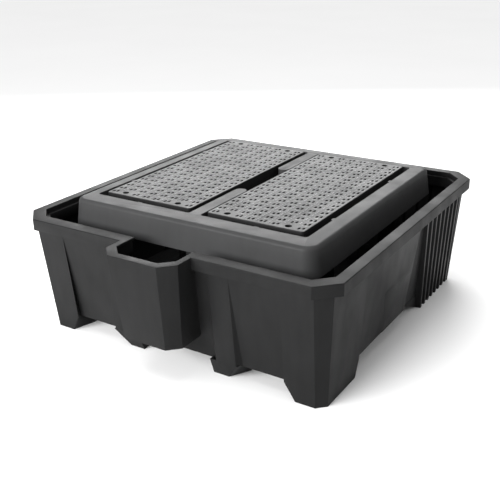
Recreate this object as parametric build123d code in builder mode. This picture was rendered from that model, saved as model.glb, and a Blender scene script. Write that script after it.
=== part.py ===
# Spill containment pallet for one intermediate bulk container.
#
# Four mouldings in recycled polyethylene: an open sump tub with a dispensing well on its
# front wall, a support deck that stands on legs inside the tub, and two slotted grates
# that drop into the deck.
#
# Frame: millimetres, +Z up, the ground at z = 0, the front (the well) towards -Y.
# The origin is on the ground, under the middle of the square rim.

from build123d import *
import os
from math import atan, degrees

os.makedirs("parts", exist_ok=True)

# ---------------------------------------------------------------- driving dimensions

skin = 8.0                      # general moulded wall thickness
clearance = 0.3                 # between a piece and what it rests on

# Rim of the tub: a flat flange with a turned-down skirt.
rim_x, rim_y = 800.0, 817.0     # half sizes outside
rim_corner = 90.0               # 45 degree corner cut
rim_top = 569.0
rim_skirt = 53.0
skirt_skin = 7.0
rim_open_x, rim_open_y, rim_open_corner = 750.0, 762.0, 66.0
rim_open_centre = (-4.0, 6.0)     # the flange is a little narrower at the left and at the back
rim_edge_radius = 4.0

# Stiffening bead inside the rim; its top is the ledge seen below the flange.
bead_top, bead_foot = 545.0, 497.0
bead_x, bead_y, bead_corner = 736.0, 748.0, 62.0

# Walls. Posts and feet stand in the outer planes, and the panels between them lean in more.
wall_top = 516.0
wall_top_x, wall_top_y, wall_top_corner = 767.0, 795.0, 58.0
foot_x, foot_y, foot_corner = 734.0, 741.0, 38.0
pocket_top = 76.0               # underside of the floor, which is the roof of the fork pockets
panel_x, panel_y, panel_corner = 722.0, 721.0, 46.0

# Fork pockets in the front: clear widths at the roof and at the ground.
pocket_in, pocket_out = 335.0, 558.0
pocket_in_ground, pocket_out_ground = 270.0, 605.0
centre_gap, column_face = 196.0, 229.0

# Side opening between the front and the back feet.
side_front, side_front_ground = -402.0, -440.0
side_back, side_back_ground = 122.0, 306.0

# Ribbed bands on the rear of each side wall and on the back wall.
rib_count = 8
rib_recess = 13.0
rib_base, rib_crest = 34.0, 16.0
groove_mouth, groove_tip = 20.0, 6.0     # the groove inside each rib, seen from the sump
rib_top = 506.0
rib_first_top, rib_first_ground = 246.0, 316.0
rib_last_top, rib_last_ground = 668.0, 674.0
back_rib_in, back_rib_out = 196.0, 652.0
band_foot = pocket_top - 4
band_end_x, band_end_y = 668.0, 690.0
back_band_in = 170.0

# Raised field low on each side wall.
field_front, field_back = -190.0, 104.0
field_foot, field_top = 82.0, 300.0
field_proud, field_bevel = 6.0, 14.0

# Dispensing well on the front wall.
well_centre = -13.0
well_half_top, well_half_foot = 185.0, 157.0
well_front_top, well_front_foot = 966.0, 918.0
well_corner_top, well_corner_foot = 61.0, 50.0
well_foot = 175.0
well_lip_half, well_lip_front, well_lip_corner = 153.0, 925.0, 53.0
well_lip_thickness = 12.0

# Support deck.
deck_top, deck_hem = 636.0, 510.0
deck_x, deck_y = 638.0, 644.0   # half sizes at the hem
deck_centre = (7.0, -18.0)      # the deck stands a little off the middle of the tub
deck_draft = degrees(atan(0.149))
deck_corner = 74.0
deck_edge_radius = 20.0
recess_floor = 590.0
recess_in, recess_out, recess_y = 29.0, 550.0, 546.0
divider_x = -4.0
recess_corner = 14.0
tab_reach, tab_root = 13.0, 6.0          # small tabs on the walls keep the grates near their places
tab_width, tab_drop = 26.0, 3.0
tab_rows, tab_columns = 300.0, 308.0
hand_slot_front, hand_slot_back = -150.0, 200.0
beam_depth = 52.0
leg_rows = (-530.0, 0.0, 530.0)
leg_columns = (-460.0, 0.0, 460.0)
leg_width, leg_draft = 92.0, 1.15
window_in, window_out = 75.0, 404.0
window_rows = ((-474.0, -270.0), (-260.0, -56.0), (56.0, 260.0), (270.0, 474.0))

# Grates. They lie loose in the recesses, so the gaps around them are uneven.
grate_top = 642.0
grate_x, grate_y = 476.0, 1048.0
grate_centres = {"left_grate": (-288.0, 8.0), "right_grate": (276.0, 8.0)}
grate_skin = 9.0
grate_wall = 8.0
grate_corner = 16.0
grate_edge_radius = 4.0
grate_rib = 6.0
slot_columns, slot_rows = 8, 20
slot_pitch_x, slot_pitch_y = 60.0, 51.8
slot_long, slot_wide = 22.0, 11.0
slot_apart, slot_stagger = 18.0, 6.0
finger_hole = 30.0

# Heights that follow.
rim_under = rim_top - skin
floor_top = pocket_top + skin
groove_foot = floor_top + 20
post_head = wall_top + 4        # where the posts have died away into the wall
sunk = 0.6                      # how far a post's head lies inside the wall

# ---------------------------------------------------------------- outlines and planes


def between(low, high, z_low, z_high, z):
    """Linear change from low at z_low to high at z_high."""
    return low + (high - low) * (z - z_low) / (z_high - z_low)


def post_x(z):
    return between(foot_x, wall_top_x, 0, wall_top, z)


def post_y(z):
    return between(foot_y, wall_top_y, 0, wall_top, z)


def post_corner(z):
    return between(foot_corner, wall_top_corner, 0, wall_top, z)


def hull_x(z):
    return between(panel_x, wall_top_x, pocket_top, wall_top, z)


def hull_y(z):
    return between(panel_y, wall_top_y, pocket_top, wall_top, z)


def hull_corner(z):
    return between(panel_corner, wall_top_corner, pocket_top, wall_top, z)


def octagon(half_x, half_y, corner):
    """A rectangle with its four corners cut at 45 degrees."""
    return [
        (half_x - corner, -half_y), (half_x, -half_y + corner),
        (half_x, half_y - corner), (half_x - corner, half_y),
        (-half_x + corner, half_y), (-half_x, half_y - corner),
        (-half_x, -half_y + corner), (-half_x + corner, -half_y),
    ]


def moved(points, centre):
    return [(x + centre[0], y + centre[1]) for x, y in points]


def hull_outline(z, inward=0.0):
    return octagon(hull_x(z) - inward, hull_y(z) - inward, hull_corner(z))


def well_outline(half, front, corner, back):
    """The well in plan, open towards the tub."""
    left, right = well_centre - half, well_centre + half
    return [
        (left, -back), (left, -front + corner), (left + corner, -front),
        (right - corner, -front), (right, -front + corner), (right, -back),
    ]


def front_corner_post(z, shrink=0.0):
    x, y = post_x(z) - shrink, post_y(z) - shrink
    cut = post_corner(z)
    return [
        (pocket_out, -y), (x - cut, -y), (x, -y + cut), (x, side_front - 28),
        (x - 40, side_front), (pocket_out + 26, side_front), (pocket_out + 26, -y + 40),
    ]


def front_column(z, shrink=0.0):
    y = post_y(z) - shrink
    return [(column_face, -y), (pocket_in - 8, -y), (pocket_in + 16, -y + 38), (centre_gap, -y + 38)]


def rear_corner_post(z, shrink=0.0):
    x, y = post_x(z) - shrink, post_y(z) - shrink
    cut = post_corner(z)
    return [
        (x - 40, band_end_y - 20), (x, band_end_y + 4), (x, y - cut), (x - cut, y),
        (band_end_x + 4, y), (band_end_x - 20, y - 40),
    ]


def side_rib(centre, z, shrink=0.0):
    """One rib in plan, standing on a side wall."""
    crest = post_x(z) - shrink
    root = hull_x(z) - rib_recess - skin / 2
    return [(root, centre - rib_base / 2), (crest, centre - rib_crest / 2),
            (crest, centre + rib_crest / 2), (root, centre + rib_base / 2)]


def back_rib(centre, z, shrink=0.0):
    """One rib in plan, standing on the back wall."""
    crest = post_y(z) - shrink
    root = hull_y(z) - rib_recess - skin / 2
    return [(centre - rib_base / 2, root), (centre + rib_base / 2, root),
            (centre + rib_crest / 2, crest), (centre - rib_crest / 2, crest)]


def side_groove(centre, z):
    """The hollow of a side rib, open to the sump."""
    mouth = hull_x(z) - rib_recess - 2 * skin - 10
    tip = post_x(z) - skin
    return [(mouth, centre - groove_mouth / 2), (tip, centre - groove_tip / 2),
            (tip, centre + groove_tip / 2), (mouth, centre + groove_mouth / 2)]


def back_groove(centre, z):
    """The hollow of a back rib."""
    mouth = hull_y(z) - rib_recess - 2 * skin - 10
    tip = post_y(z) - skin
    return [(centre - groove_mouth / 2, mouth), (centre + groove_mouth / 2, mouth),
            (centre + groove_tip / 2, tip), (centre - groove_tip / 2, tip)]


def side_band(z, inner, outer, margin=0.0):
    """Sunk band of a side wall, from inner to outer as measured outwards from the wall plane."""
    x = hull_x(z)
    front = between(side_back - 14, side_back + 36, pocket_top, rib_top, z) - margin
    back = band_end_y + margin
    return [(x + inner, front), (x + outer, front), (x + outer, back), (x + inner, back)]


def back_band(z, inner, outer, margin=0.0):
    """The same on the back wall."""
    y = hull_y(z)
    near, far = back_band_in - margin, band_end_x + margin
    return [(near, y + inner), (far, y + inner), (far, y + outer), (near, y + outer)]


def side_field(z, proud):
    """Raised field of a side wall, faded out towards the front."""
    x = hull_x(z) + proud
    return [(x - 30, field_front - 10), (x - 8, field_front - 10), (x, field_front + 30),
            (x, field_back - 8), (x - 8, field_back), (x - 30, field_back)]


def side_of(points, side):
    """The outline on one side of the tub: side 1 is the right, side -1 its mirror image."""
    placed = [(side * x, y) for x, y in points]
    return placed if side > 0 else placed[::-1]


def hollow(points, wall):
    """The outline drawn in towards its middle, which leaves about one wall all round."""
    mid_x = sum(x for x, _ in points) / len(points)
    mid_y = sum(y for _, y in points) / len(points)
    keep_x = 1 - wall / max(abs(x - mid_x) for x, _ in points)
    keep_y = 1 - wall / max(abs(y - mid_y) for _, y in points)
    return [(mid_x + (x - mid_x) * keep_x, mid_y + (y - mid_y) * keep_y) for x, y in points]


def ruled(low_points, z_low, high_points, z_high, mode=Mode.ADD):
    """A straight-sided solid between two outlines with the same number of corners."""
    with BuildSketch(Plane.XY.offset(z_low)) as low:
        Polygon(*low_points, align=None)
    with BuildSketch(Plane.XY.offset(z_high)) as high:
        Polygon(*high_points, align=None)
    loft([low.sketch.face(), high.sketch.face()], ruled=True, mode=mode)


# ---------------------------------------------------------------- feet of the tub
# Each foot: its outline where it meets the floor, and its outline on the ground.

front_corner_foot = (
    front_corner_post(floor_top),
    [(pocket_out_ground, -foot_y), (foot_x - foot_corner, -foot_y), (foot_x, -foot_y + foot_corner),
     (foot_x, side_front_ground - 12), (foot_x - 12, side_front_ground),
     (pocket_out + 14, side_front_ground), (pocket_out + 14, -foot_y + 110)],
)
front_mid_foot = (
    [(centre_gap, -post_y(floor_top)), (pocket_in, -post_y(floor_top)),
     (pocket_in + 14, -post_y(floor_top) + 110), (pocket_in + 14, side_front), (centre_gap, side_front)],
    [(centre_gap - 4, -foot_y + 24), (pocket_in_ground, -foot_y + 24),
     (pocket_in - 10, -foot_y + 116), (pocket_in - 10, side_front_ground),
     (centre_gap + 10, side_front_ground)],
)
centre_foot = (
    [(centre_gap, -190), (pocket_in, -190), (pocket_in, -90), (centre_gap, -90)],
    [(centre_gap + 12, -176), (pocket_in - 14, -176), (pocket_in - 14, -104), (centre_gap + 12, -104)],
)
rear_mid_foot = (
    [(centre_gap, side_back + 60), (pocket_in + 14, side_back + 60),
     (pocket_in + 14, post_y(floor_top) - 110), (pocket_in, post_y(floor_top) - 34),
     (centre_gap, post_y(floor_top) - 34)],
    [(centre_gap + 10, side_back_ground), (pocket_in - 10, side_back_ground), (pocket_in - 10, foot_y - 146),
     (pocket_in_ground, foot_y - 42), (centre_gap - 4, foot_y - 42)],
)
rear_corner_foot = (
    [(pocket_out + 26, side_back), (hull_x(floor_top) - rib_recess, side_back),
     (hull_x(floor_top) - rib_recess, post_y(floor_top) - 70),
     (post_x(floor_top) - 60, post_y(floor_top) - 34),
     (pocket_out, post_y(floor_top) - 34), (pocket_out + 26, post_y(floor_top) - 110)],
    [(pocket_out + 14, side_back_ground), (foot_x - 24, side_back_ground), (foot_x - 24, foot_y - 70),
     (foot_x - 60, foot_y - 30), (pocket_out_ground, foot_y - 30), (pocket_out + 14, foot_y - 120)],
)
feet = (front_corner_foot, front_mid_foot, centre_foot, rear_mid_foot, rear_corner_foot)

# Ribs of a side wall fan out a little towards the ground, and those of the back wall don't.
side_rib_lines = [
    (between(rib_first_top, rib_last_top, 0, rib_count - 1, i),
     between(rib_first_ground, rib_last_ground, 0, rib_count - 1, i))
    for i in range(rib_count)
]
back_rib_lines = [between(back_rib_in, back_rib_out, 0, rib_count - 1, i) for i in range(rib_count)]

# ---------------------------------------------------------------- sump tub

with BuildPart() as sump_tub:
    # Flange and skirt, open below.
    with BuildSketch(Plane.XY.offset(wall_top)):
        Polygon(*octagon(rim_x, rim_y, rim_corner), align=None)
    extrude(amount=rim_skirt)
    with BuildSketch(Plane.XY.offset(wall_top)):
        Polygon(*octagon(rim_x - skirt_skin, rim_y - skirt_skin, rim_corner - 4), align=None)
    extrude(amount=rim_skirt - skin, mode=Mode.SUBTRACT)

    # Wall and floor as one solid hull under the flange.
    ruled(hull_outline(pocket_top), pocket_top, hull_outline(rim_under), rim_under + 1)

    # The well: a bay on the front wall.
    ruled(well_outline(well_half_foot, well_front_foot, well_corner_foot, 700), well_foot,
          well_outline(well_half_top, well_front_top, well_corner_top, 770), rim_top)

    # Posts, columns and feet, and a raised field low on each side panel.
    for side in (1, -1):
        for post, start in ((front_corner_post, floor_top), (front_column, floor_top), (rear_corner_post, 0)):
            ruled(side_of(post(start), side), start, side_of(post(post_head, sunk), side), post_head)
        for at_floor, at_ground in feet:
            ruled(side_of(at_ground, side), 0, side_of(at_floor, side), floor_top)
        bevel_foot = field_top - field_bevel
        field_rim = side_of(side_field(bevel_foot, field_proud), side)
        ruled(side_of(side_field(field_foot, field_proud), side), field_foot, field_rim, bevel_foot)
        ruled(field_rim, bevel_foot, side_of(side_field(field_top, -sunk), side), field_top)

    # Inside: the sump, the bead under the rim and the mouth.
    ruled(hull_outline(floor_top, skin), floor_top,
          hull_outline(bead_foot, skin), bead_foot, mode=Mode.SUBTRACT)
    ruled(octagon(bead_x, bead_y, bead_corner), bead_foot - 1,
          octagon(bead_x, bead_y, bead_corner), bead_top, mode=Mode.SUBTRACT)
    ruled(moved(octagon(rim_open_x - 2, rim_open_y - 2, rim_open_corner), rim_open_centre), bead_top,
          moved(octagon(rim_open_x, rim_open_y, rim_open_corner), rim_open_centre), rim_top + 1,
          mode=Mode.SUBTRACT)

    # Sunk bands on both side walls and the back wall, the wall pushed in behind them, and their ribs.
    for side in (1, -1):
        for band in (side_band, back_band):
            ruled(side_of(band(floor_top - 2, -rib_recess - skin, -1, skin), side), floor_top - 2,
                  side_of(band(rib_top, -rib_recess - skin, -1, skin), side), rib_top)
            ruled(side_of(band(band_foot, -rib_recess, 40), side), band_foot,
                  side_of(band(rib_top, -rib_recess, 40), side), rib_top, mode=Mode.SUBTRACT)
        for line_top, line_ground in side_rib_lines:
            ruled(side_of(side_rib(line_ground, 0), side), 0,
                  side_of(side_rib(line_top, rib_top + 6, sunk), side), rib_top + 6)
        for line in back_rib_lines:
            ruled(side_of(back_rib(line, floor_top), side), floor_top,
                  side_of(back_rib(line, rib_top + 6, sunk), side), rib_top + 6)

    # The ribs are hollow folds of the wall, so they show as grooves inside and notch the bead.
    for side in (1, -1):
        for line_top, line_ground in side_rib_lines:
            groove_low = between(line_ground, line_top, 0, rib_top, groove_foot)
            groove_high = between(line_ground, line_top, 0, rib_top, bead_top)
            ruled(side_of(side_groove(groove_low, groove_foot), side), groove_foot,
                  side_of(side_groove(groove_high, bead_top), side), bead_top, mode=Mode.SUBTRACT)
        for line in back_rib_lines:
            ruled(side_of(back_groove(line, groove_foot), side), groove_foot,
                  side_of(back_groove(line, bead_top), side), bead_top, mode=Mode.SUBTRACT)

    # Inside the well: its lip overhangs the bay, and the bay is open to the sump.
    ruled(well_outline(well_half_foot - skin, well_front_foot - skin, well_corner_foot, 660),
          well_foot + skin,
          well_outline(well_half_top - skin, well_front_top - skin, well_corner_top, 700),
          rim_top - well_lip_thickness, mode=Mode.SUBTRACT)
    ruled(well_outline(well_lip_half, well_lip_front, well_lip_corner, 700), rim_top - well_lip_thickness - 1,
          well_outline(well_lip_half, well_lip_front, well_lip_corner, 700), rim_top + 1, mode=Mode.SUBTRACT)

    # Inside the feet.
    for at_floor, at_ground in feet:
        for side in (1, -1):
            ruled(side_of(hollow(at_ground, skin + 4), side), skin,
                  side_of(hollow(at_floor, skin + 2), side), floor_top + 1, mode=Mode.SUBTRACT)

    fillet(sump_tub.faces().sort_by(Axis.Z)[-1].edges(), rim_edge_radius)

sump_tub.part.label = "sump_tub"
export_step(sump_tub.part, "parts/sump_tub.step")

# ---------------------------------------------------------------- support deck

plate_foot = recess_floor - skin
leg_rest = floor_top + clearance
tongue_ends = (hand_slot_front - recess_in, hand_slot_back + recess_in)
tongues = ((-recess_y, tongue_ends[0]), (tongue_ends[1], recess_y))

with BuildPart() as support_deck:
    # Skirted tray with soft edges, open below.
    with BuildSketch(Plane.XY.offset(deck_hem)):
        with Locations(deck_centre):
            RectangleRounded(2 * deck_x, 2 * deck_y, deck_corner)
    extrude(amount=deck_top - deck_hem, taper=deck_draft)
    fillet(support_deck.edges().group_by(Axis.Z)[-1], deck_edge_radius)
    with BuildSketch(Plane.XY.offset(deck_hem)):
        with Locations(deck_centre):
            RectangleRounded(2 * (deck_x - skin), 2 * (deck_y - skin), deck_corner - skin)
    extrude(amount=deck_top - skin - deck_hem, taper=deck_draft, mode=Mode.SUBTRACT)

    # The pan that carries the grates.
    with BuildSketch(Plane.XY.offset(plate_foot)):
        with Locations((divider_x, 0)):
            RectangleRounded(2 * (recess_out + skin), 2 * (recess_y + skin), recess_corner + skin)
    extrude(amount=deck_top - skin / 2 - plate_foot)

    # Beams and legs below the pan.
    with BuildSketch(Plane.XY.offset(plate_foot)):
        for row in leg_rows:
            with Locations((0, row)):
                Rectangle(2 * recess_out, skin)
        for column in leg_columns:
            with Locations((column, 0)):
                Rectangle(skin, 2 * recess_y)
    extrude(amount=-beam_depth)
    with BuildSketch(Plane.XY.offset(plate_foot)):
        with GridLocations(leg_columns[2], leg_rows[2], 3, 3):
            RectangleRounded(leg_width, leg_width, 14)
    extrude(amount=-(plate_foot - leg_rest), taper=leg_draft)

    # Recesses for the grates and the hand slot between them.
    with BuildSketch(Plane.XY.offset(recess_floor)):
        for side in (1, -1):
            with Locations((divider_x + side * (recess_in + recess_out) / 2, 0)):
                RectangleRounded(recess_out - recess_in, 2 * recess_y, recess_corner)
        with Locations((divider_x, sum(tongue_ends) / 2)):
            Rectangle(2 * recess_in + 20, tongue_ends[1] - tongue_ends[0])
        with Locations((divider_x, tongue_ends[0]), (divider_x, tongue_ends[1])):
            Circle(recess_in, mode=Mode.SUBTRACT)
    extrude(amount=deck_top - recess_floor, mode=Mode.SUBTRACT)

    # Tabs on the walls of the recesses.
    tab_depth = tab_reach + tab_root
    tab_x = recess_out + tab_root - tab_depth / 2
    tab_y = recess_y + tab_root - tab_depth / 2
    with BuildSketch(Plane.XY.offset(recess_floor - skin / 2)):
        with Locations((divider_x, 0)):
            with GridLocations(2 * tab_x, 2 * tab_rows, 2, 2):
                RectangleRounded(tab_depth, tab_width, 5)
            with GridLocations(2 * tab_columns, 2 * tab_y, 2, 2):
                RectangleRounded(tab_width, tab_depth, 5)
    extrude(amount=deck_top - tab_drop - recess_floor + skin / 2)

    # The divider is hollow from below.
    with BuildSketch(Plane.XY.offset(plate_foot - 1)):
        for front, back in tongues:
            with Locations((divider_x, (front + back) / 2)):
                Rectangle(2 * (recess_in - skin), back - front)
    extrude(amount=deck_top - skin - plate_foot + 1, mode=Mode.SUBTRACT)

    # Windows in the pan, so that spills fall through.
    with BuildSketch(Plane.XY.offset(plate_foot - 1)):
        for side in (1, -1):
            for low, high in window_rows:
                with Locations((side * (window_in + window_out) / 2, (low + high) / 2)):
                    RectangleRounded(window_out - window_in, high - low, 20)
    extrude(amount=skin + 2, mode=Mode.SUBTRACT)

    # The legs are hollow, and open at the foot.
    with BuildSketch(Plane.XY.offset(plate_foot)):
        with GridLocations(leg_columns[2], leg_rows[2], 3, 3):
            RectangleRounded(leg_width - 2 * skin, leg_width - 2 * skin, 8)
    extrude(amount=-(plate_foot - leg_rest + 1), taper=leg_draft, mode=Mode.SUBTRACT)

support_deck.part.label = "support_deck"
export_step(support_deck.part, "parts/support_deck.step")

# ---------------------------------------------------------------- grates

grate_foot = recess_floor + clearance
finger_cells = [(column, row) for column in (1, slot_columns - 2) for row in (0, slot_rows - 1)]


def cell_centre(column, row):
    return ((column - (slot_columns - 1) / 2) * slot_pitch_x, (row - (slot_rows - 1) / 2) * slot_pitch_y)


slot_places = []
for column in range(slot_columns):
    for row in range(slot_rows):
        x, y = cell_centre(column, row)
        if (column, row) not in finger_cells:
            slot_places.append((x - slot_apart / 2, y - slot_stagger / 2))
            slot_places.append((x + slot_apart / 2, y + slot_stagger / 2))
hole_places = [cell_centre(column, row) for column, row in finger_cells]


def export_grate(name):
    """One grate: a slotted top on a grid of ribs inside a deep edge."""
    centre = grate_centres[name]
    cell_x, cell_y = 2 * slot_pitch_x, 2 * slot_pitch_y
    with BuildPart() as grate:
        with BuildSketch(Plane.XY.offset(grate_foot)) as outline:
            with Locations(centre):
                RectangleRounded(grate_x, grate_y, grate_corner)
        extrude(outline.sketch, amount=grate_top - grate_foot)
        fillet(grate.edges().group_by(Axis.Z)[-1], grate_edge_radius)

        # Hollow from below, with ribs between every second row and column of slots.
        inner_corner = grate_corner - grate_wall
        with BuildSketch(Plane.XY.offset(grate_foot)) as inside:
            with Locations(centre):
                RectangleRounded(grate_x - 2 * grate_wall, grate_y - 2 * grate_wall, inner_corner)
        extrude(inside.sketch, amount=grate_top - grate_skin - grate_foot, mode=Mode.SUBTRACT)
        with BuildSketch(Plane.XY.offset(grate_foot)) as ribs:
            with Locations(centre):
                with GridLocations(cell_x, cell_y, slot_columns // 2 - 1, 1):
                    Rectangle(grate_rib, grate_y - grate_wall)
                with GridLocations(cell_x, cell_y, 1, slot_rows // 2 - 1):
                    Rectangle(grate_x - grate_wall, grate_rib)
        extrude(ribs.sketch, amount=grate_top - grate_skin / 2 - grate_foot)

        with BuildSketch(Plane.XY.offset(grate_foot)) as openings:
            with Locations(centre):
                with Locations(*slot_places):
                    SlotOverall(slot_long, slot_wide, rotation=90)
                with Locations(*hole_places):
                    Circle(finger_hole / 2)
        extrude(openings.sketch, amount=grate_top - grate_foot + 1, mode=Mode.SUBTRACT)
    grate.part.label = name
    export_step(grate.part, f"parts/{name}.step")


for grate_name in grate_centres:
    export_grate(grate_name)
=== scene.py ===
"""Looks of the spill containment pallet: four polyethylene mouldings in a pale studio.

The CAD shapes are kept. Each moulding gets softly rounded edges and a moulded plastic finish, and each
grate also gets the raised grip pattern of its top.
"""

from math import cos, radians, sin

import bmesh
import bpy
from mathutils import Matrix, Vector


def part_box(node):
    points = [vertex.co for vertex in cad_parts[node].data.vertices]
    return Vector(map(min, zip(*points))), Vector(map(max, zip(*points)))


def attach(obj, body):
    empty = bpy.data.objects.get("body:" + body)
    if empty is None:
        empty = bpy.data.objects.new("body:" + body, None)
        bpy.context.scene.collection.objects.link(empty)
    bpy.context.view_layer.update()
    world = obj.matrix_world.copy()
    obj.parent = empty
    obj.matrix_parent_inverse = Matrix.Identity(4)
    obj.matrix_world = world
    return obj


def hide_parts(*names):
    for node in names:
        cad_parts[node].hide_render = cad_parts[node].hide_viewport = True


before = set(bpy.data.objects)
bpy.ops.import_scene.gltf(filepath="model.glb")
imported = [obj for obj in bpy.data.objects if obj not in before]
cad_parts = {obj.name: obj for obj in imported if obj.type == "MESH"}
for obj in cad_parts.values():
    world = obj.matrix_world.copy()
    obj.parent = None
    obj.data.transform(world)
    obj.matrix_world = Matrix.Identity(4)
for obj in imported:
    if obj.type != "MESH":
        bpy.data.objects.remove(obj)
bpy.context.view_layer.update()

MM = 0.001

# ---------------------------------------------------------------- grip pattern, as on the CAD grates

SLOT_COLUMNS, SLOT_ROWS = 8, 20
PITCH_X, PITCH_Y = 60.0 * MM, 51.8 * MM
FINGER_CELLS = {(column, row) for column in (1, SLOT_COLUMNS - 2) for row in (0, SLOT_ROWS - 1)}

BAR_LONG, BAR_WIDE, BAR_HIGH = 26.0 * MM, 5.0 * MM, 1.6 * MM
CROSS_LONG, CROSS_WIDE = 26.0 * MM, 6.0 * MM
STUD_WIDE = 9.0 * MM


# ---------------------------------------------------------------- materials


class Nodes:
    """Short calls for building a node tree."""

    def __init__(self, material):
        self.tree = material.node_tree
        self.tree.nodes.clear()

    def add(self, kind, **values):
        node = self.tree.nodes.new(kind)
        for key, value in values.items():
            if key in node.inputs:
                node.inputs[key].default_value = value
            else:
                setattr(node, key, value)
        return node

    def link(self, source, output, target, socket):
        self.tree.links.new(source.outputs[output], target.inputs[socket])

    def noise(self, coordinates, scale, detail, stretch=(1.0, 1.0, 1.0)):
        mapping = self.add("ShaderNodeMapping")
        mapping.inputs["Scale"].default_value = stretch
        self.link(coordinates, "Object", mapping, "Vector")
        noise = self.add("ShaderNodeTexNoise", Scale=scale, Detail=detail)
        self.link(mapping, "Vector", noise, "Vector")
        return noise

    def remap(self, source, low, high, to_low, to_high):
        remap = self.add("ShaderNodeMapRange")
        for key, value in (("From Min", low), ("From Max", high), ("To Min", to_low), ("To Max", to_high)):
            remap.inputs[key].default_value = value
        self.link(source, 0, remap, "Value")
        return remap

    def blend(self, factor, first, second):
        """Colour output between first and second, each a colour or another colour output."""
        mix = self.add("ShaderNodeMix", data_type="RGBA")
        self.tree.links.new(factor.outputs[0], mix.inputs[0])
        ends = [socket for socket in mix.inputs if socket.type == "RGBA"]
        for socket, value in zip(ends, (first, second)):
            if isinstance(value, bpy.types.NodeSocket):
                self.tree.links.new(value, socket)
            else:
                socket.default_value = (*value, 1.0)
        return next(output for output in mix.outputs if output.type == "RGBA")

    def times(self, first, second):
        product = self.add("ShaderNodeMath", operation="MULTIPLY")
        self.tree.links.new(first.outputs[0], product.inputs[0])
        self.tree.links.new(second.outputs[0], product.inputs[1])
        return product


def grey(value):
    """A faintly cool grey."""
    return (value, value * 1.005, value * 1.02)


def moulded_plastic(name, dark, light, roughness, sheen, grain, flow, painted_shade_below=None):
    """Polyethylene: mottled colour, faint upright flow marks, rubbed patches and a fine moulded grain.

    Painted shade: below the given height the colour turns near black, standing in for the shadow on the
    walls of holes.
    """
    material = bpy.data.materials.new(name)
    material.use_nodes = True
    n = Nodes(material)
    place = n.add("ShaderNodeTexCoord")

    mottle = n.noise(place, 5.0, 4.0)
    streaks = n.noise(place, 30.0, 3.0, (1.0, 1.0, 0.06))
    speckle = n.noise(place, 420.0, 2.0)
    mix = n.times(n.remap(mottle, 0.3, 0.7, 0.35, 0.65), n.remap(streaks, 0.3, 0.7, 1.0 - flow, 1.0 + flow))
    mix = n.times(mix, n.remap(speckle, 0.3, 0.7, 0.85, 1.15))
    colour = n.blend(mix, dark, light)

    # Painted shade: surfaces lower than the given height, the walls of the grate slots, get a near black
    # colour for the shadow inside the holes.
    if painted_shade_below is not None:
        height = n.add("ShaderNodeSeparateXYZ")
        n.link(place, "Object", height, "Vector")
        above_painted_shade = n.add("ShaderNodeMapRange")
        above_painted_shade.inputs["From Min"].default_value = painted_shade_below
        above_painted_shade.inputs["From Max"].default_value = painted_shade_below + 0.001
        n.link(height, "Z", above_painted_shade, "Value")
        colour = n.blend(above_painted_shade, grey(0.012), colour)

    shader = n.add("ShaderNodeBsdfPrincipled")
    shader.inputs["IOR"].default_value = 1.5
    shader.inputs["Specular IOR Level"].default_value = sheen
    n.tree.links.new(colour, shader.inputs["Base Color"])
    rubbed = n.noise(place, 9.0, 6.0, (1.0, 1.0, 0.5))
    gloss = n.remap(rubbed, 0.3, 0.7, roughness - 0.06, roughness + 0.07)
    n.tree.links.new(gloss.outputs[0], shader.inputs["Roughness"])

    skin = n.noise(place, 700.0, 3.0)
    waves = n.noise(place, 16.0, 2.0)
    fine = n.add("ShaderNodeBump", Strength=grain, Distance=0.0006)
    n.link(skin, 0, fine, "Height")
    broad = n.add("ShaderNodeBump", Strength=0.15, Distance=0.0025)
    n.link(waves, 0, broad, "Height")
    n.link(fine, "Normal", broad, "Normal")
    n.link(broad, "Normal", shader, "Normal")

    end = n.add("ShaderNodeOutputMaterial")
    n.link(shader, "BSDF", end, "Surface")
    return material


# Height on the grates below which the slot walls get painted shade.
GRATE_PAINTED_SHADE_BELOW = 0.6408
tub_plastic = moulded_plastic("tub_polyethylene", grey(0.007), grey(0.016), 0.46, 0.08, 0.25, 0.22)
deck_plastic = moulded_plastic("deck_polyethylene", grey(0.026), grey(0.045), 0.44, 0.10, 0.25, 0.10)
grate_plastic = moulded_plastic(
    "grate_polyethylene", grey(0.026), grey(0.052), 0.42, 0.14, 0.45, 0.05, GRATE_PAINTED_SHADE_BELOW
)
# The grip pads are the grate's own plastic, given a lighter colour as painted highlight for the light their
# raised tops catch.
grip_highlight_plastic = moulded_plastic("grip_polyethylene_painted_highlight", grey(0.072), grey(0.150), 0.36, 0.30, 0.45, 0.05)


# ---------------------------------------------------------------- mouldings


def moulding(node, name, material, radius):
    """A copy of a CAD node with softly rounded edges, which stands for it."""
    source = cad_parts[node]
    mesh = bmesh.new()
    mesh.from_mesh(source.data)
    bmesh.ops.remove_doubles(mesh, verts=mesh.verts, dist=0.00002)
    bmesh.ops.dissolve_limit(mesh, angle_limit=radians(0.6), verts=mesh.verts, edges=mesh.edges)
    data = bpy.data.meshes.new(name)
    mesh.to_mesh(data)
    mesh.free()
    data.materials.append(material)
    piece = bpy.data.objects.new(name, data)
    bpy.context.scene.collection.objects.link(piece)
    rounding = piece.modifiers.new("rounding", "BEVEL")
    rounding.limit_method = "ANGLE"
    rounding.angle_limit = radians(28)
    rounding.width = radius
    rounding.segments = 2
    rounding.use_clamp_overlap = True
    rounding.harden_normals = False
    for face in data.polygons:
        face.use_smooth = True
    data.set_sharp_from_angle(angle=radians(32))
    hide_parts(node)
    return piece


# ---------------------------------------------------------------- grip pattern of a grate


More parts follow.
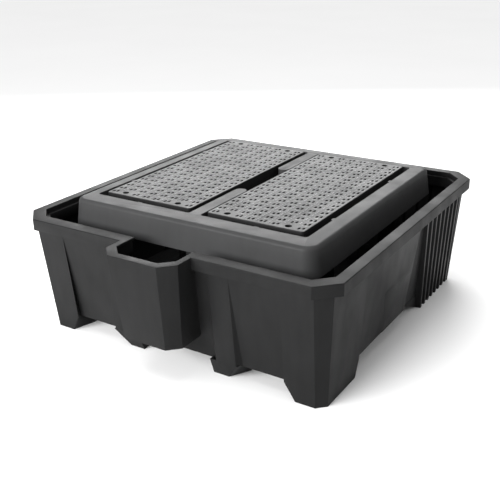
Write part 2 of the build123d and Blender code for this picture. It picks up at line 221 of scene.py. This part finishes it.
def pad(mesh, centre, half_x, half_y, high, sink=0.0004):
    """A raised pad with sloping sides and cut corners, standing on a grate."""
    x, y, z = centre
    rings = []
    for level, shrink in ((-sink, 0.0), (0.55 * high, 0.18), (high, 0.42)):
        reach_x = half_x - shrink * min(half_x, half_y)
        reach_y = half_y - shrink * min(half_x, half_y)
        cut = 0.55 * min(reach_x, reach_y)
        outline = [
            (reach_x - cut, -reach_y),
            (reach_x, -reach_y + cut),
            (reach_x, reach_y - cut),
            (reach_x - cut, reach_y),
            (-reach_x + cut, reach_y),
            (-reach_x, reach_y - cut),
            (-reach_x, -reach_y + cut),
            (-reach_x + cut, -reach_y),
        ]
        rings.append([mesh.verts.new((x + dx, y + dy, z + level)) for dx, dy in outline])
    for low, high_ring in zip(rings, rings[1:]):
        for i in range(8):
            j = (i + 1) % 8
            mesh.faces.new((low[i], low[j], high_ring[j], high_ring[i]))
    mesh.faces.new(rings[-1])
    mesh.faces.new(rings[0][::-1])


def grip(node, name):
    """Bars between the columns of slots, cross bars between the rows and a stud at each crossing."""
    low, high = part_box(node)
    mid_x, mid_y, top = (low.x + high.x) / 2, (low.y + high.y) / 2, high.z
    mesh = bmesh.new()
    for column in range(SLOT_COLUMNS):
        for row in range(SLOT_ROWS):
            if (column, row) in FINGER_CELLS:
                continue
            x = mid_x + (column - (SLOT_COLUMNS - 1) / 2) * PITCH_X
            y = mid_y + (row - (SLOT_ROWS - 1) / 2) * PITCH_Y
            if column + 1 < SLOT_COLUMNS and (column + 1, row) not in FINGER_CELLS:
                pad(mesh, (x + PITCH_X / 2, y, top), BAR_WIDE / 2, BAR_LONG / 2, BAR_HIGH)
            if row + 1 < SLOT_ROWS and (column, row + 1) not in FINGER_CELLS:
                pad(mesh, (x, y + PITCH_Y / 2, top), CROSS_LONG / 2, CROSS_WIDE / 2, BAR_HIGH)
            if row + 1 < SLOT_ROWS and column + 1 < SLOT_COLUMNS:
                pad(mesh, (x + PITCH_X / 2, y + PITCH_Y / 2, top), STUD_WIDE / 2, STUD_WIDE / 2, BAR_HIGH)
    data = bpy.data.meshes.new(name)
    mesh.to_mesh(data)
    mesh.free()
    # The pads get the lighter plastic, painted highlight on their raised tops.
    data.materials.append(grip_highlight_plastic)
    piece = bpy.data.objects.new(name, data)
    bpy.context.scene.collection.objects.link(piece)
    return piece


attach(moulding("sump_tub", "sump_tub_moulding", tub_plastic, 3.0 * MM), "tub")
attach(moulding("support_deck", "support_deck_moulding", deck_plastic, 2.0 * MM), "deck")
for grate in ("left_grate", "right_grate"):
    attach(moulding(grate, f"{grate}_moulding", grate_plastic, 0.8 * MM), grate)
    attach(grip(grate, f"{grate}_grip"), grate)


# ---------------------------------------------------------------- studio


def studio_floor():
    """A plain pale floor at height zero."""
    size = 60.0
    data = bpy.data.meshes.new("studio_floor")
    corners = [(-size, -size, 0.0), (size, -size, 0.0), (size, size, 0.0), (-size, size, 0.0)]
    data.from_pydata(corners, [], [(0, 1, 2, 3)])
    material = bpy.data.materials.new("studio_paper")
    material.use_nodes = True
    n = Nodes(material)
    place = n.add("ShaderNodeTexCoord")
    tone = n.noise(place, 0.6, 2.0)
    shader = n.add("ShaderNodeBsdfPrincipled", Roughness=0.9)
    ramp = n.add("ShaderNodeValToRGB")
    ramp.color_ramp.elements[0].color = (0.90, 0.90, 0.90, 1.0)
    ramp.color_ramp.elements[1].color = (0.94, 0.94, 0.94, 1.0)
    n.link(tone, 0, ramp, "Fac")
    n.link(ramp, "Color", shader, "Base Color")
    end = n.add("ShaderNodeOutputMaterial")
    n.link(shader, "BSDF", end, "Surface")
    data.materials.append(material)
    floor = bpy.data.objects.new("studio_floor", data)
    bpy.context.scene.collection.objects.link(floor)


def softbox(name, place, target, size, power):
    """A rectangular light at place, turned to target."""
    data = bpy.data.lights.new(name, "AREA")
    data.shape = "RECTANGLE"
    data.size, data.size_y = size
    data.energy = power
    lamp = bpy.data.objects.new(name, data)
    bpy.context.scene.collection.objects.link(lamp)
    lamp.location = place
    lamp.rotation_euler = (Vector(target) - Vector(place)).to_track_quat("-Z", "Y").to_euler()


def soft_sun(name, place, strength, spread):
    """Parallel light that comes from the direction of place, with shadows softened by spread degrees."""
    data = bpy.data.lights.new(name, "SUN")
    data.energy = strength
    data.angle = radians(spread)
    lamp = bpy.data.objects.new(name, data)
    bpy.context.scene.collection.objects.link(lamp)
    lamp.rotation_euler = (-Vector(place)).to_track_quat("-Z", "Y").to_euler()


def studio_air(level):
    """Even white light from all round."""
    world = bpy.data.worlds.new("studio_air")
    world.use_nodes = True
    background = world.node_tree.nodes["Background"]
    background.inputs["Color"].default_value = (1.0, 1.0, 1.0, 1.0)
    background.inputs["Strength"].default_value = level
    bpy.context.scene.world = world


studio_floor()
studio_air(0.42)
soft_sun("overhead", (-0.5, -0.1, 3.0), 1.7, 50)
softbox("front_softbox", (-1.2, -5.0, 2.2), (0.0, -0.6, 0.4), (4.0, 1.6), 455.0)
softbox("back_softbox", (-2.2, 3.5, 2.6), (0.0, 0.0, 0.6), (4.4, 2.4), 200.0)
softbox("right_softbox", (5.0, 0.8, 3.2), (0.0, 0.0, 0.6), (3.0, 2.0), 28.0)


# ---------------------------------------------------------------- camera

CAMERA_PLACE = Vector((1.922, -3.130, 1.806))
CAMERA_AZIMUTH, CAMERA_DOWN, CAMERA_ROLL = radians(32.48), radians(22.67), radians(-0.93)
CAMERA_LENS = 57.17


def studio_camera():
    """A camera that looks down at the pallet's front right corner."""
    level = cos(CAMERA_DOWN)
    ahead = Vector((-sin(CAMERA_AZIMUTH) * level, cos(CAMERA_AZIMUTH) * level, -sin(CAMERA_DOWN)))
    right = Vector((cos(CAMERA_AZIMUTH), sin(CAMERA_AZIMUTH), 0.0))
    up = right.cross(ahead)
    turned_right = cos(CAMERA_ROLL) * right + sin(CAMERA_ROLL) * up
    turned_up = cos(CAMERA_ROLL) * up - sin(CAMERA_ROLL) * right
    data = bpy.data.cameras.new("studio_camera")
    data.lens = CAMERA_LENS
    data.sensor_width = 36.0
    camera = bpy.data.objects.new("studio_camera", data)
    bpy.context.scene.collection.objects.link(camera)
    axes = Matrix((turned_right, turned_up, -ahead)).transposed()
    camera.matrix_world = Matrix.Translation(CAMERA_PLACE) @ axes.to_4x4()
    bpy.context.scene.camera = camera


studio_camera()
bpy.context.scene.view_settings.view_transform = "Standard"
